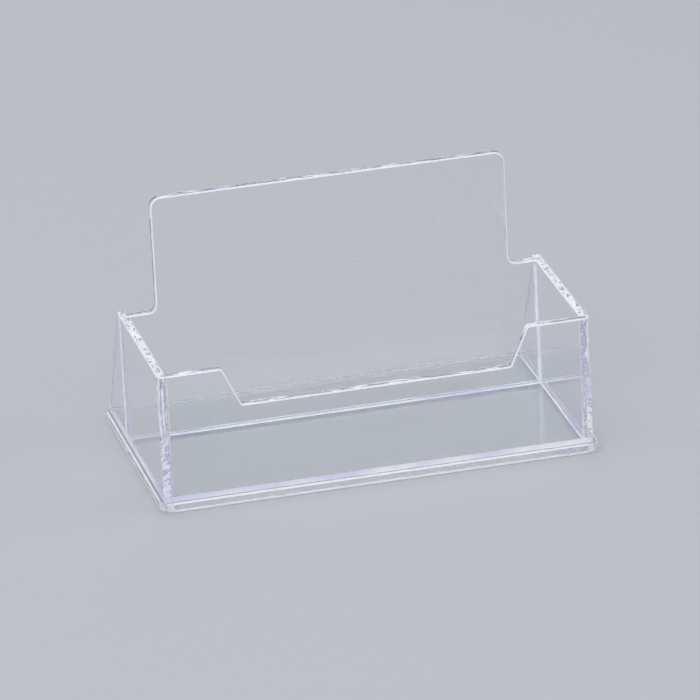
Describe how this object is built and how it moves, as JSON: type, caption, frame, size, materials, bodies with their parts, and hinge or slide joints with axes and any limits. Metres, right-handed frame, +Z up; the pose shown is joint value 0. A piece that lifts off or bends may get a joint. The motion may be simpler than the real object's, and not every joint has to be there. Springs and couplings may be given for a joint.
{
  "type": "business card holder stand",
  "caption": "Clear business card holder stand: flat base plate, low front wall with a thumb notch, sides that run back as sloping braces, and a tall shouldered back panel.",
  "frame": {"origin": "centre of the base's underside, on the table", "axes": "+X to the right along the width as seen from the front, +Y from the front to the back, +Z up"},
  "size_m": [0.0988, 0.058, 0.0583],
  "materials": {
    "clear_sheet": "clear polished acrylic"
  },
  "bodies": {
    "root": {"base_plate": "clear_sheet", "front_panel": "clear_sheet", "left_side_panel": "clear_sheet", "right_side_panel": "clear_sheet", "back_panel": "clear_sheet"}
  },
  "joints": []
}
